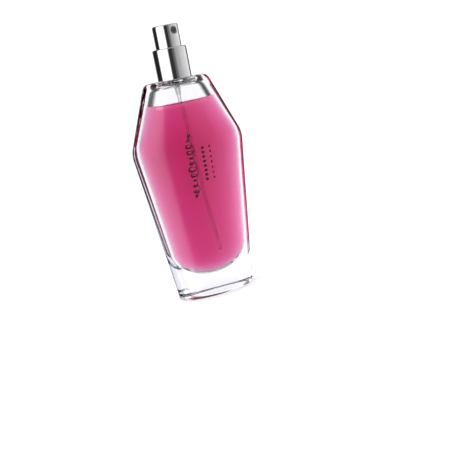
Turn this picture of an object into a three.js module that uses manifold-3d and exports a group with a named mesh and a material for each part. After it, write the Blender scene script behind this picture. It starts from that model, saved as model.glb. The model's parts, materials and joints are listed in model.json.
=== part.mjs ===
// Fragrance bottle with a crimped fine-mist pump: oval glass bottle, coloured liquid, dip tube,
// pre-compression pump, crimped ferrule, metal collar and metal spray head.
// Millimetres, +Z up. The origin is the centre of the standing face; the wide side lies along X
// and the decorated front faces -Y.

import * as THREE from 'three';
import { mergeVertices } from 'three/addons/utils/BufferGeometryUtils.js';
import Module from 'manifold-3d';

const wasm = await Module();
wasm.setup();

// ---------------------------------------------------------------- driving dimensions
// Facets round each turned piece. Both counts divide a quarter turn evenly.
const SHELL_SIDES = 48;
const PUMP_SIDES = 24;
const COIL_STEPS = 12; // straight lengths in one turn of a spring

// Clearances
const FIT_GAP = 0.05; // pressed or seated faces
const RUN_GAP = 0.1; // sliding faces
const FREE_GAP = 0.3; // liquid to its container, moving stops, collar mouth

// Glass body: half-widths along X and half-depths along Y at its three corners
const BASE_HALF_WIDTH = 20.6;
const BASE_HALF_DEPTH = 13.0;
const RIDGE_HALF_WIDTH = 29.6;
const RIDGE_HALF_DEPTH = 17.3;
const RIDGE_HEIGHT = 79.4;
const DECK_HALF_WIDTH = 16.4;
const DECK_HALF_DEPTH = 11.8;
const DECK_HEIGHT = 111.7;
const RIDGE_SETBACK = 3.6; // length of side taken by the ridge's rounding
const DECK_SETBACK = 3.2;
const BASE_EDGE = 1.2;
const STAND_RING = 2.6; // width of the flat ring that the bottle stands on
const PUNT_DEPTH = 1.3;

// Cavity
const SIDE_WALL = 5.6; // at the narrow ends, along X
const FACE_WALL = 3.5; // front and back, along Y
const FLOOR_THICKNESS = 11.0;
const BOWL_HEIGHT = 14.0; // rounded part of the cavity's bottom
const CEILING_THICKNESS = 2.6;
const FILL_DROP = 12.4; // liquid level below the deck

// Crimp neck
const NECK_HEIGHT = 6.6;
const NECK_WALL = 1.7;
const BEAD_PROUD = 1.0; // how far the crimp bead stands out from the neck
const BEAD_HEIGHT = 3.8;
const NECK_FILLET = 0.6;

// Pump
const STROKE = 4.0;
const PISTON_LAG = 0.6; // how far the piston opens on its valve pin over a full stroke
const CHAMBER_RADIUS = 3.0;
const HOUSING_WALL = 0.9;
const HOUSING_CLEARANCE = 0.8; // housing to the neck's bore
const FLANGE_INSET = 0.5; // pump flange and gasket inside the bead's edge
const FLANGE_THICKNESS = 0.7;
const GASKET_THICKNESS = 0.7;
const TAIL_WALL = 0.65;
const TAIL_TIP_WALL = 0.3;
const TUBE_SOCKET = 4.35;
const TUBE_RADIUS = 0.95;
const TUBE_BORE = 0.55;
const TUBE_FLOOR_GAP = 11.0; // free end above the cavity's lowest point
const TUBE_BOW = 4.9; // sideways reach of the free end, towards +X
const BOW_POWER = 1.7;
const BALL_RADIUS = 0.9;
const BALL_LIFT = 0.8;
const INLET_RADIUS = 0.5;
const INLET_WEB = 0.4;
const CAGE_LIP = 0.4;
const RIM_ABOVE_FLANGE = 2.3; // housing rim above its flange
const SEAL_THICKNESS = 0.7;
const TURRET_WALL = 0.7;
const STEM_RADIUS = 1.6;
const STEM_FLANGE = 0.8;
const STEM_TOP_DROP = 1.8; // stem top below the nozzle's axis
const PIN_RADIUS = 1.0;
const PIN_FLANGE = 0.7;
const PIN_FLANGE_INSET = 0.5;
const PISTON_WEB = 0.7;
const PISTON_WALL = 0.55;
const MAIN_WIRE = 0.2; // wire radius
const MAIN_TURNS = 4.5;
const PRELOAD_WIRE = 0.14;
const PRELOAD_TURNS = 3;

// Collar and spray head
const COLLAR_HEIGHT = 15.2;
const COLLAR_WALL = 0.35;
const COLLAR_ROUND = 0.9;
const COLLAR_RIM = 0.9; // flat of the collar's top between its round and its mouth
const LINER_WALL = 0.3;
const LINER_GUIDE_HEIGHT = 1.2;
const FERRULE_WALL = 0.3;
const HEAD_HEIGHT = 10.9; // above the collar, released
const HEAD_ENTRY = 0.9; // depth of its skirt inside the collar's mouth, released
const HEAD_WALL = 0.4;
const HEAD_ROUND = 0.9;
const HEAD_DISH = 0.35; // fingertip hollow in its top
const HEAD_TURN_DEG = 22.5; // where the spray points, from the front towards +X
const SPRAY_DROP = 3.1; // nozzle axis below the top of the head
const WINDOW_RADIUS = 1.95;
const NOZZLE_RADIUS = 1.75;
const NOZZLE_LENGTH = 2.6;
const NOZZLE_FACE = 0.9;
const NOZZLE_CUP = 1.0; // radius of the hollow behind the orifice
const ORIFICE_RADIUS = 0.22;
const FEED_RADIUS = 0.7;

// ---------------------------------------------------------------- radii that follow
// Each piece fits the one inside it, from the pump's chamber outwards.
const HOUSING_RADIUS = CHAMBER_RADIUS + HOUSING_WALL;
const NECK_BORE = HOUSING_RADIUS + HOUSING_CLEARANCE;
const NECK_RADIUS = NECK_BORE + NECK_WALL;
const BEAD_RADIUS = NECK_RADIUS + BEAD_PROUD;
const FLANGE_RADIUS = BEAD_RADIUS - FLANGE_INSET;
const FERRULE_BORE = BEAD_RADIUS + FIT_GAP;
const FERRULE_RADIUS = FERRULE_BORE + FERRULE_WALL;
const LINER_BORE = FERRULE_RADIUS + FIT_GAP;
const LINER_RADIUS = LINER_BORE + LINER_WALL;
const COLLAR_BORE = LINER_RADIUS + FIT_GAP;
const COLLAR_RADIUS = COLLAR_BORE + COLLAR_WALL;
const COLLAR_MOUTH = COLLAR_RADIUS - COLLAR_ROUND - COLLAR_RIM;
const HEAD_RADIUS = COLLAR_MOUTH - FREE_GAP;
const HEAD_BORE = HEAD_RADIUS - HEAD_WALL;
const PISTON_RADIUS = CHAMBER_RADIUS - RUN_GAP;
const PISTON_BORE = PISTON_RADIUS - PISTON_WALL;
const STEM_FLANGE_RADIUS = PISTON_BORE - RUN_GAP - FIT_GAP;
const PIN_FLANGE_RADIUS = CHAMBER_RADIUS - PIN_FLANGE_INSET;
const CAGE_RADIUS = BALL_RADIUS + 2 * RUN_GAP;
const TAIL_RADIUS = CAGE_RADIUS + TAIL_WALL;
const SOCKET_RADIUS = TUBE_RADIUS + FIT_GAP;

// ---------------------------------------------------------------- heights that follow
const NECK_TOP = DECK_HEIGHT + NECK_HEIGHT;
const BEAD_BOTTOM = NECK_TOP - BEAD_HEIGHT;
const CAVITY_TOP = DECK_HEIGHT - CEILING_THICKNESS;
const LIQUID_LEVEL = DECK_HEIGHT - FILL_DROP;

const GASKET_BOTTOM = NECK_TOP + FIT_GAP;
const FLANGE_BOTTOM = GASKET_BOTTOM + GASKET_THICKNESS + FIT_GAP;
const FLANGE_TOP = FLANGE_BOTTOM + FLANGE_THICKNESS;
const HOUSING_RIM = FLANGE_TOP + RIM_ABOVE_FLANGE;
const SEAL_BOTTOM = HOUSING_RIM + FIT_GAP;
const TURRET_UNDERSIDE = SEAL_BOTTOM + SEAL_THICKNESS + FIT_GAP;
const TURRET_TOP = TURRET_UNDERSIDE + TURRET_WALL;
const TURRET_FLANGE_BOTTOM = FLANGE_TOP + FIT_GAP;
const TURRET_FLANGE_TOP = TURRET_FLANGE_BOTTOM + FLANGE_THICKNESS;
const FERRULE_UNDERSIDE = TURRET_FLANGE_TOP + FIT_GAP;
const FERRULE_TOP = FERRULE_UNDERSIDE + FERRULE_WALL;

const COLLAR_TOP = DECK_HEIGHT + COLLAR_HEIGHT;
const HEAD_TOP = COLLAR_TOP + HEAD_HEIGHT;
const HEAD_BOTTOM = COLLAR_TOP - HEAD_ENTRY;
const SPRAY_HEIGHT = HEAD_TOP - SPRAY_DROP;
const STEM_TOP = SPRAY_HEIGHT - STEM_TOP_DROP;

// Down the inside of the pump. Each spring's space is its closed length and the travel it gives.
const closedLength = (wire, turns) => 2 * wire * (turns + 1) + 2 * FIT_GAP;
const STEM_FLANGE_TOP = SEAL_BOTTOM - FREE_GAP;
const STEM_BOTTOM = STEM_FLANGE_TOP - STEM_FLANGE;
const WEB_TOP = STEM_BOTTOM - PISTON_LAG - closedLength(PRELOAD_WIRE, PRELOAD_TURNS);
const WEB_BOTTOM = WEB_TOP - PISTON_WEB;
const PIN_FLANGE_TOP = WEB_BOTTOM - FIT_GAP;
const PIN_FLANGE_BOTTOM = PIN_FLANGE_TOP - PIN_FLANGE;
const CHAMBER_FLOOR = PIN_FLANGE_BOTTOM - STROKE - closedLength(MAIN_WIRE, MAIN_TURNS);
const CAGE_TOP = CHAMBER_FLOOR - CAGE_LIP;
const BALL_CENTRE = CAGE_TOP - RUN_GAP - BALL_LIFT - BALL_RADIUS;
const SEAT_BOTTOM = BALL_CENTRE - FIT_GAP - BALL_RADIUS * Math.SQRT2 + INLET_RADIUS;
const SEAT_TOP = SEAT_BOTTOM + CAGE_RADIUS - INLET_RADIUS;
const SOCKET_TOP = SEAT_BOTTOM - INLET_WEB;
const TAIL_END = SOCKET_TOP - TUBE_SOCKET;
const TUBE_END = FLOOR_THICKNESS + TUBE_FLOOR_GAP;

// ---------------------------------------------------------------- finishes
const finish = (color, roughness, metalness, extra = {}) =>
  new THREE.MeshStandardMaterial({ color, roughness, metalness, ...extra });

const clearGlass = finish(0xf4f2f6, 0.03, 0, { transparent: true, opacity: 0.35 });
const pinkLiquid = finish(0xe2559f, 0.05, 0, { transparent: true, opacity: 0.6 });
const chrome = finish(0xd9dbde, 0.08, 1);
const aluminium = finish(0xc8cacc, 0.35, 1);
const springSteel = finish(0xb4b6b8, 0.3, 1);
const naturalPlastic = finish(0xe9e6ea, 0.35, 0, { transparent: true, opacity: 0.8 });
const whitePlastic = finish(0xf0f0ee, 0.4, 0);
const blackPlastic = finish(0x17181a, 0.35, 0);
const sealRubber = finish(0x3a3b3d, 0.8, 0);
const ballSteel = finish(0xc4c6c8, 0.12, 1);

// ---------------------------------------------------------------- geometry helpers
const point = (radius, height) => new THREE.Vector2(radius, height);
const station = (width, depth, height) => new THREE.Vector3(width, depth, height);

/** Geometry with shared vertices merged and the empty triangles at its poles dropped. */
function welded(geometry) {
  const bare = geometry.clone();
  bare.deleteAttribute('normal');
  bare.deleteAttribute('uv');
  const merged = mergeVertices(bare, 1e-5);
  const index = Array.from(merged.index.array);
  const kept = [];
  for (let i = 0; i < index.length; i += 3) {
    const [a, b, c] = index.slice(i, i + 3);
    if (a !== b && b !== c && c !== a) kept.push(a, b, c);
  }
  merged.setIndex(kept);
  return merged;
}

function toSolid(geometry) {
  const closed = welded(geometry);
  return new wasm.Manifold(
    new wasm.Mesh({
      numProp: 3,
      vertProperties: new Float32Array(closed.attributes.position.array),
      triVerts: new Uint32Array(closed.index.array),
    }),
  );
}

function fromSolid(solid) {
  const { vertProperties, triVerts } = solid.getMesh();
  const geometry = new THREE.BufferGeometry();
  geometry.setAttribute('position', new THREE.BufferAttribute(vertProperties, 3));
  geometry.setIndex(new THREE.BufferAttribute(triVerts, 1));
  geometry.computeVertexNormals();
  return geometry;
}

/** Takes each cutter away from a body. */
const cut = (body, ...cutters) =>
  fromSolid(cutters.reduce((left, cutter) => left.subtract(toSolid(cutter)), toSolid(body)));

/** Turns a profile of (radius, height) points about Z. Up the outside is outward. */
function turned(profile, sides = PUMP_SIDES) {
  return welded(new THREE.LatheGeometry(profile, sides).rotateX(Math.PI / 2));
}

/** Turns stations of (half-width, half-depth, height) into a body of oval sections. */
function turnedOval(stations, sides = SHELL_SIDES) {
  const profile = stations.map((s) => point(s.x, s.z));
  const geometry = new THREE.LatheGeometry(profile, sides).rotateX(Math.PI / 2);
  const position = geometry.attributes.position;
  for (let k = 0; k < position.count; k += 1) {
    const { x: width, y: depth } = stations[k % stations.length];
    if (width > 0) position.setY(k, (position.getY(k) * depth) / width);
  }
  return welded(geometry);
}

/** Closed ring of rectangular section. */
const ring = (inner, outer, bottom, top, sides = PUMP_SIDES) =>
  turned([point(inner, bottom), point(outer, bottom), point(outer, top), point(inner, top),
    point(inner, bottom)], sides);

/** Solid rod along Z. */
const rod = (radius, bottom, top, sides = PUMP_SIDES) =>
  turned([point(0, bottom), point(radius, bottom), point(radius, top), point(0, top)], sides);

/** Replaces a corner between three stations by a curve that starts a setback away on each side. */
function rounded(before, corner, after, setback, steps) {
  const towards = (end) =>
    corner.clone().lerp(end, Math.min(0.5, setback / corner.distanceTo(end)));
  const start = towards(before);
  const end = towards(after);
  return new THREE.QuadraticBezierCurve3(start, corner, end).getPoints(steps);
}

/** Quarter round from (radius, height - size) to (radius - size, height). */
function edgeRound(radius, height, size, steps = 4) {
  return Array.from({ length: steps + 1 }, (_, i) => {
    const angle = (i / steps) * (Math.PI / 2);
    return point(radius - size + size * Math.cos(angle), height - size + size * Math.sin(angle));
  });
}

/** Round section for a swept wire or tube, with an optional bore. */
function section(radius, sides, bore = 0) {
  const circle = (r) =>
    Array.from({ length: sides }, (_, i) => {
      const angle = (2 * Math.PI * i) / sides;
      return point(r * Math.cos(angle), r * Math.sin(angle));
    });
  const shape = new THREE.Shape(circle(radius));
  if (bore > 0) shape.holes.push(new THREE.Path(circle(bore)));
  return shape;
}

const swept = (shape, path, steps) =>
  welded(new THREE.ExtrudeGeometry(shape, { steps, extrudePath: path, bevelEnabled: false }));

class Helix extends THREE.Curve {
  constructor(radius, bottom, top, turns) {
    super();
    Object.assign(this, { radius, bottom, top, turns });
  }

  getPoint(t, target = new THREE.Vector3()) {
    const angle = 2 * Math.PI * this.turns * t;
    const height = THREE.MathUtils.lerp(this.bottom, this.top, t);
    return target.set(this.radius * Math.cos(angle), this.radius * Math.sin(angle), height);
  }
}

/** Centre line of the dip tube, which leaves the pump upright and bows towards +X. */
class TubeLine extends THREE.Curve {
  constructor(top, bottom) {
    super();
    Object.assign(this, { top, bottom });
  }

  getPoint(t, target = new THREE.Vector3()) {
    const height = THREE.MathUtils.lerp(this.top, this.bottom, t);
    const fall = Math.max(0, (TAIL_END - height) / (TAIL_END - TUBE_END));
    return target.set(TUBE_BOW * fall ** BOW_POWER, 0, height);
  }
}

// ---------------------------------------------------------------- bottle
const BASE = station(BASE_HALF_WIDTH, BASE_HALF_DEPTH, 0);
const RIDGE = station(RIDGE_HALF_WIDTH, RIDGE_HALF_DEPTH, RIDGE_HEIGHT);
const DECK = station(DECK_HALF_WIDTH, DECK_HALF_DEPTH, DECK_HEIGHT);

/** Straight side of the outside at a height, before its corners are rounded. */
function sideAt(height) {
  return height < RIDGE_HEIGHT
    ? BASE.clone().lerp(RIDGE, height / RIDGE_HEIGHT)
    : RIDGE.clone().lerp(DECK, (height - RIDGE_HEIGHT) / (DECK_HEIGHT - RIDGE_HEIGHT));
}

const insideAt = (height, gap = 0) =>
  sideAt(height).sub(station(SIDE_WALL + gap, FACE_WALL + gap, 0));

/** Rounded bottom of the cavity, from its lowest point to the straight wall. */
function bowl(gap = 0, steps = 6) {
  const rim = insideAt(FLOOR_THICKNESS + BOWL_HEIGHT, gap);
  return Array.from({ length: steps + 1 }, (_, i) => {
    const angle = (i / steps) * (Math.PI / 2);
    const drop = (BOWL_HEIGHT - gap) * Math.cos(angle);
    return station(rim.x * Math.sin(angle), rim.y * Math.sin(angle), rim.z - drop);
  });
}

function glassOutside() {
  const ringOuter = station(BASE.x - BASE_EDGE, BASE.y - BASE_EDGE, 0);
  const ringInner = ringOuter.clone().sub(station(STAND_RING, STAND_RING, 0));
  const punt = [0, 0.4, 0.75].map((share) =>
    station(ringInner.x * share, ringInner.y * share, PUNT_DEPTH * (1 - share ** 2)));
  const neckRoot = station(NECK_RADIUS, NECK_RADIUS, DECK_HEIGHT);
  return [
    ...punt,
    ringInner,
    ...rounded(ringInner, BASE, RIDGE, BASE_EDGE, 3),
    ...rounded(BASE, RIDGE, DECK, RIDGE_SETBACK, 4),
    ...rounded(RIDGE, DECK, neckRoot, DECK_SETBACK, 4),
  ];
}

function neckStations() {
  const round = (radius, height) => station(radius, radius, height);
  return [
    round(NECK_RADIUS + NECK_FILLET, DECK_HEIGHT),
    round(NECK_RADIUS, DECK_HEIGHT + NECK_FILLET),
    round(NECK_RADIUS, BEAD_BOTTOM - NECK_FILLET),
    round(BEAD_RADIUS, BEAD_BOTTOM + NECK_FILLET),
    round(BEAD_RADIUS, NECK_TOP - NECK_FILLET / 2),
    round(BEAD_RADIUS - NECK_FILLET / 2, NECK_TOP),
    round(NECK_BORE, NECK_TOP),
    round(NECK_BORE, CAVITY_TOP + NECK_FILLET),
    round(NECK_BORE + NECK_FILLET, CAVITY_TOP),
  ];
}

function cavityStations() {
  const bore = station(NECK_BORE, NECK_BORE, CAVITY_TOP);
  const shoulder = insideAt(CAVITY_TOP);
  const ridge = insideAt(RIDGE_HEIGHT);
  const bowlRim = insideAt(FLOOR_THICKNESS + BOWL_HEIGHT);
  return [
    ...rounded(bore, shoulder, ridge, DECK_SETBACK, 3),
    ...rounded(shoulder, ridge, bowlRim, RIDGE_SETBACK, 3),
    ...bowl().reverse(),
  ];
}

const glassBottle = () =>
  turnedOval([...glassOutside(), ...neckStations(), ...cavityStations()]);

/** Liquid up to its level, with a channel round the dip tube. */
function fragranceLiquid() {
  const ridge = insideAt(RIDGE_HEIGHT, FREE_GAP);
  const bottom = insideAt(FLOOR_THICKNESS + BOWL_HEIGHT, FREE_GAP);
  const level = insideAt(LIQUID_LEVEL, FREE_GAP);
  const reachesRidge = LIQUID_LEVEL > RIDGE_HEIGHT;
  const body = turnedOval([
    ...bowl(FREE_GAP),
    ...(reachesRidge ? rounded(bottom, ridge, level, RIDGE_SETBACK, 3) : []),
    level,
    station(0, 0, LIQUID_LEVEL),
  ]);
  const line = new TubeLine(LIQUID_LEVEL + FREE_GAP, TUBE_END - FREE_GAP);
  return cut(body, swept(section(TUBE_RADIUS + FREE_GAP, 8), line, 14));
}

const dipTube = () =>
  swept(section(TUBE_RADIUS, 8, TUBE_BORE), new TubeLine(SOCKET_TOP - FIT_GAP, TUBE_END), 20);

// ---------------------------------------------------------------- pump
/** Chamber, ball cage and tube socket in one moulding, with the flange that it hangs by. */
function pumpHousing() {
  const cageMouth = BALL_RADIUS - 2 * RUN_GAP;
  return turned([
    point(SOCKET_RADIUS, TAIL_END),
    point(SOCKET_RADIUS + TAIL_TIP_WALL, TAIL_END),
    point(TAIL_RADIUS, SEAT_TOP),
    point(TAIL_RADIUS, CAGE_TOP - CAGE_LIP),
    point(HOUSING_RADIUS - CAGE_LIP, CHAMBER_FLOOR - CAGE_LIP),
    point(HOUSING_RADIUS, CHAMBER_FLOOR),
    point(HOUSING_RADIUS, FLANGE_BOTTOM),
    point(FLANGE_RADIUS, FLANGE_BOTTOM),
    point(FLANGE_RADIUS, FLANGE_TOP),
    point(HOUSING_RADIUS, FLANGE_TOP),
    point(HOUSING_RADIUS, HOUSING_RIM),
    point(CHAMBER_RADIUS, HOUSING_RIM),
    point(CHAMBER_RADIUS, CHAMBER_FLOOR),
    point(cageMouth, CHAMBER_FLOOR),
    point(cageMouth, CAGE_TOP),
    point(CAGE_RADIUS, CAGE_TOP),
    point(CAGE_RADIUS, SEAT_TOP),
    point(INLET_RADIUS, SEAT_BOTTOM),
    point(INLET_RADIUS, SOCKET_TOP),
    point(SOCKET_RADIUS, SOCKET_TOP),
    point(SOCKET_RADIUS, TAIL_END),
  ]);
}

const inletBall = () => welded(new THREE.SphereGeometry(BALL_RADIUS, 16, 10).rotateX(Math.PI / 2));

/** Coil spring whose wire fills the height between two seats. */
function coil(meanRadius, wire, bottom, top, turns) {
  const line = new Helix(meanRadius, bottom + wire + FIT_GAP, top - wire - FIT_GAP, turns);
  return swept(section(wire, 6), line, Math.round(turns * COIL_STEPS));
}

const mainSpring = () =>
  coil(CHAMBER_RADIUS - MAIN_WIRE - 2 * RUN_GAP, MAIN_WIRE, CHAMBER_FLOOR, PIN_FLANGE_BOTTOM,
    MAIN_TURNS);

const preloadSpring = () =>
  coil((PIN_RADIUS + STEM_FLANGE_RADIUS) / 2, PRELOAD_WIRE, WEB_TOP, STEM_BOTTOM, PRELOAD_TURNS);

/** Lower end of the plunger: spring flange, valve shaft and a plug that snaps into the stem. */
function valvePin() {
  const plug = FEED_RADIUS - FIT_GAP;
  const plugTop = STEM_BOTTOM + 2 * STEM_FLANGE;
  const body = turned([
    point(0, PIN_FLANGE_BOTTOM),
    point(PIN_FLANGE_RADIUS, PIN_FLANGE_BOTTOM),
    point(PIN_FLANGE_RADIUS, PIN_FLANGE_TOP),
    point(PIN_RADIUS, PIN_FLANGE_TOP),
    point(PIN_RADIUS, STEM_BOTTOM - FIT_GAP),
    point(plug, STEM_BOTTOM - FIT_GAP),
    point(plug, plugTop),
    point(0, plugTop),
  ]);
  const flat = new THREE.BoxGeometry(plug, 2 * plug, 2 * STEM_FLANGE);
  flat.translate(plug, 0, plugTop + FIT_GAP - STEM_FLANGE);
  return cut(body, flat);
}

/** Cup piston that slides in the chamber and seals on the pin's flange. */
function piston() {
  const outer = PISTON_RADIUS;
  const lip = outer - PISTON_WALL / 2;
  const sleeveTop = STEM_BOTTOM - FREE_GAP;
  return turned([
    point(PIN_RADIUS + RUN_GAP, WEB_BOTTOM),
    point(lip, WEB_BOTTOM),
    point(outer, WEB_BOTTOM + PISTON_WALL / 2),
    point(outer, WEB_BOTTOM + PISTON_WALL),
    point(lip, WEB_TOP),
    point(lip, sleeveTop - PISTON_WALL),
    point(outer, sleeveTop - PISTON_WALL / 2),
    point(outer, sleeveTop),
    point(PISTON_BORE, sleeveTop),
    point(PISTON_BORE, WEB_TOP),
    point(PIN_RADIUS + RUN_GAP, WEB_TOP),
    point(PIN_RADIUS + RUN_GAP, WEB_BOTTOM),
  ]);
}

/** Hollow stem with a retaining flange and a cross slot that lets liquid in past the pin. */
function stem() {
  const body = turned([
    point(FEED_RADIUS, STEM_BOTTOM),
    point(STEM_FLANGE_RADIUS, STEM_BOTTOM),
    point(STEM_FLANGE_RADIUS, STEM_FLANGE_TOP),
    point(STEM_RADIUS, STEM_FLANGE_TOP),
    point(STEM_RADIUS, STEM_TOP - FREE_GAP),
    point(STEM_RADIUS - FREE_GAP, STEM_TOP),
    point(FEED_RADIUS, STEM_TOP),
    point(FEED_RADIUS, STEM_BOTTOM),
  ]);
  const slot = new THREE.BoxGeometry(3 * STEM_FLANGE_RADIUS, FEED_RADIUS, STEM_FLANGE);
  return cut(body, slot.translate(0, 0, STEM_BOTTOM));
}

const stemSeal = () =>
  ring(STEM_RADIUS + FIT_GAP, HOUSING_RADIUS, SEAL_BOTTOM, SEAL_BOTTOM + SEAL_THICKNESS);

/** Cap snapped over the housing's rim, which guides the stem and is clamped by the ferrule. */
function turret() {
  const bore = HOUSING_RADIUS + FIT_GAP;
  const outer = bore + TURRET_WALL;
  return turned([
    point(bore, TURRET_FLANGE_BOTTOM),
    point(FLANGE_RADIUS, TURRET_FLANGE_BOTTOM),
    point(FLANGE_RADIUS, TURRET_FLANGE_TOP),
    point(outer, TURRET_FLANGE_TOP),
    point(outer, TURRET_TOP - FREE_GAP),
    point(outer - FREE_GAP, TURRET_TOP),
    point(STEM_RADIUS + RUN_GAP, TURRET_TOP),
    point(STEM_RADIUS + RUN_GAP, TURRET_UNDERSIDE),
    point(bore, TURRET_UNDERSIDE),
    point(bore, TURRET_FLANGE_BOTTOM),
  ]);
}

const neckGasket = () =>
  ring(NECK_BORE, FLANGE_RADIUS, GASKET_BOTTOM, GASKET_BOTTOM + GASKET_THICKNESS);

// ---------------------------------------------------------------- ferrule and collar
/** Aluminium cup that clamps the pump on the neck, crimped in under the neck's bead. */
function crimpFerrule() {
  const hole = HOUSING_RADIUS + TURRET_WALL + 3 * FIT_GAP;
  const lip = NECK_RADIUS + FREE_GAP;
  const lipTop = BEAD_BOTTOM - NECK_FILLET - FIT_GAP;
  const lipBottom = lipTop - FERRULE_WALL;
  return turned([
    point(lip, lipBottom),
    point(FERRULE_RADIUS, lipBottom),
    point(FERRULE_RADIUS, FERRULE_TOP - FERRULE_WALL),
    point(FERRULE_RADIUS - FERRULE_WALL, FERRULE_TOP),
    point(hole, FERRULE_TOP),
    point(hole, FERRULE_UNDERSIDE),
    point(FERRULE_BORE, FERRULE_UNDERSIDE),
    point(FERRULE_BORE, lipTop),
    point(lip, lipTop),
    point(lip, lipBottom),
  ], SHELL_SIDES);
}

/** Plastic liner that grips the ferrule and guides the spray head at the collar's mouth. */
function collarLiner() {
  const bottom = DECK_HEIGHT + FREE_GAP;
  const top = COLLAR_TOP - COLLAR_WALL - FIT_GAP;
  const chamfer = COLLAR_ROUND - COLLAR_WALL;
  const shelf = FERRULE_TOP + FIT_GAP;
  return turned([
    point(LINER_BORE, bottom),
    point(LINER_RADIUS, bottom),
    point(LINER_RADIUS, top - chamfer),
    point(LINER_RADIUS - chamfer, top),
    point(COLLAR_MOUTH, top),
    point(COLLAR_MOUTH, top - LINER_GUIDE_HEIGHT),
    point(LINER_BORE - LINER_WALL, top - LINER_GUIDE_HEIGHT - LINER_WALL),
    point(LINER_BORE - LINER_WALL, shelf),
    point(LINER_BORE, shelf),
    point(LINER_BORE, bottom),
  ], SHELL_SIDES);
}

/** Bright metal sleeve that stands on the bottle's deck and hides the neck. */
function collarSleeve() {
  const inner = COLLAR_BORE;
  const under = COLLAR_TOP - COLLAR_WALL;
  const bottom = DECK_HEIGHT + FIT_GAP;
  return turned([
    point(inner, bottom),
    point(COLLAR_RADIUS, bottom),
    ...edgeRound(COLLAR_RADIUS, COLLAR_TOP, COLLAR_ROUND),
    point(COLLAR_MOUTH, COLLAR_TOP),
    point(COLLAR_MOUTH, under),
    ...edgeRound(inner, under, COLLAR_ROUND - COLLAR_WALL, 2).reverse(),
    point(inner, bottom),
  ], SHELL_SIDES);
}

// ---------------------------------------------------------------- spray head
// Built with its spray pointing along -Y; the head's group turns it.
/** Rod along Y between two distances in front of the axis, at the nozzle's height. */
function forwardRod(radius, from, to, rise = 0, sides = PUMP_SIDES) {
  const along = rod(radius, from, to, sides).rotateX(Math.PI / 2);
  return along.translate(0, 0, SPRAY_HEIGHT + rise);
}

/** Fingertip hollow: the top face sinks from its rim to the axis. */
const dish = (rim, height) =>
  [1, 0.5, 0].map((share) => point(rim * share, height - HEAD_DISH * (1 - share ** 2)));

function actuatorShell() {
  const inner = HEAD_BORE;
  const innerRound = HEAD_ROUND - HEAD_WALL;
  const body = turned([
    point(inner, HEAD_BOTTOM),
    point(HEAD_RADIUS, HEAD_BOTTOM),
    ...edgeRound(HEAD_RADIUS, HEAD_TOP, HEAD_ROUND, 3),
    ...dish(HEAD_RADIUS - HEAD_ROUND, HEAD_TOP).slice(1),
    ...dish(inner - innerRound, HEAD_TOP - HEAD_WALL).reverse(),
    ...edgeRound(inner, HEAD_TOP - HEAD_WALL, innerRound, 2).reverse().slice(1),
    point(inner, HEAD_BOTTOM),
  ], SHELL_SIDES);
  return cut(body, forwardRod(WINDOW_RADIUS, inner / 2, HEAD_RADIUS + 1));
}

/** Moulded inside of the head: stem socket, feed bores, nozzle pocket and swirl post. */
function actuatorCore() {
  const outer = HEAD_BORE - FIT_GAP;
  const bottom = HEAD_BOTTOM + FIT_GAP;
  const top = HEAD_TOP - HEAD_WALL - FIT_GAP;
  const ceiling = TURRET_TOP + STROKE + 2 * FREE_GAP;
  const bossRadius = STEM_RADIUS + TURRET_WALL + RUN_GAP;
  const bossBottom = ceiling - FREE_GAP;
  const skirt = outer - TURRET_WALL;
  const chamfer = HEAD_ROUND - HEAD_WALL;
  const body = turned([
    point(0, bossBottom),
    point(bossRadius, bossBottom),
    point(bossRadius, ceiling),
    point(skirt, ceiling),
    point(skirt, bottom),
    point(outer, bottom),
    point(outer, top - chamfer),
    ...dish(outer - chamfer, top),
  ]);
  const feedRise = (NOZZLE_RADIUS + NOZZLE_CUP) / 2;
  const feedWidth = (NOZZLE_RADIUS - NOZZLE_CUP) / 2 - FIT_GAP;
  const pocketFloor = HEAD_BORE - NOZZLE_LENGTH;
  const postTip = HEAD_BORE - NOZZLE_FACE - RUN_GAP;
  const post = forwardRod(NOZZLE_CUP - RUN_GAP, 0, postTip);
  const pocket = cut(forwardRod(NOZZLE_RADIUS + FIT_GAP, pocketFloor, HEAD_RADIUS), post);
  const socket = rod(STEM_RADIUS + FIT_GAP, bossBottom - 1, STEM_TOP + FIT_GAP);
  const riser = rod(FEED_RADIUS, STEM_TOP, SPRAY_HEIGHT + feedRise + feedWidth);
  const feed = forwardRod(feedWidth, 0, pocketFloor + FIT_GAP, feedRise, 12);
  return cut(body, socket, riser, feed, pocket);
}

/** Orifice cup pressed into the head, with a flared mouth. */
function nozzleInsert() {
  const front = HEAD_BORE;
  const back = front - NOZZLE_LENGTH + FIT_GAP;
  const cupFloor = front - NOZZLE_FACE;
  const mouth = NOZZLE_RADIUS * 0.45;
  const profile = [
    point(NOZZLE_CUP, back),
    point(NOZZLE_RADIUS, back),
    point(NOZZLE_RADIUS, front),
    point(mouth, front),
    point(ORIFICE_RADIUS, front - NOZZLE_FACE / 2),
    point(ORIFICE_RADIUS, cupFloor),
    point(NOZZLE_CUP, cupFloor),
    point(NOZZLE_CUP, back),
  ];
  return turned(profile, 16).rotateX(Math.PI / 2).translate(0, 0, SPRAY_HEIGHT);
}

// ---------------------------------------------------------------- assembly
function piece(name, geometry, material) {
  const mesh = new THREE.Mesh(geometry, material);
  mesh.name = name;
  return mesh;
}

function bottleGroup() {
  const group = new THREE.Group();
  group.add(
    piece('glass_bottle', glassBottle(), clearGlass),
    piece('fragrance_liquid', fragranceLiquid(), pinkLiquid),
    piece('dip_tube', dipTube(), naturalPlastic),
  );
  return group;
}

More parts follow.
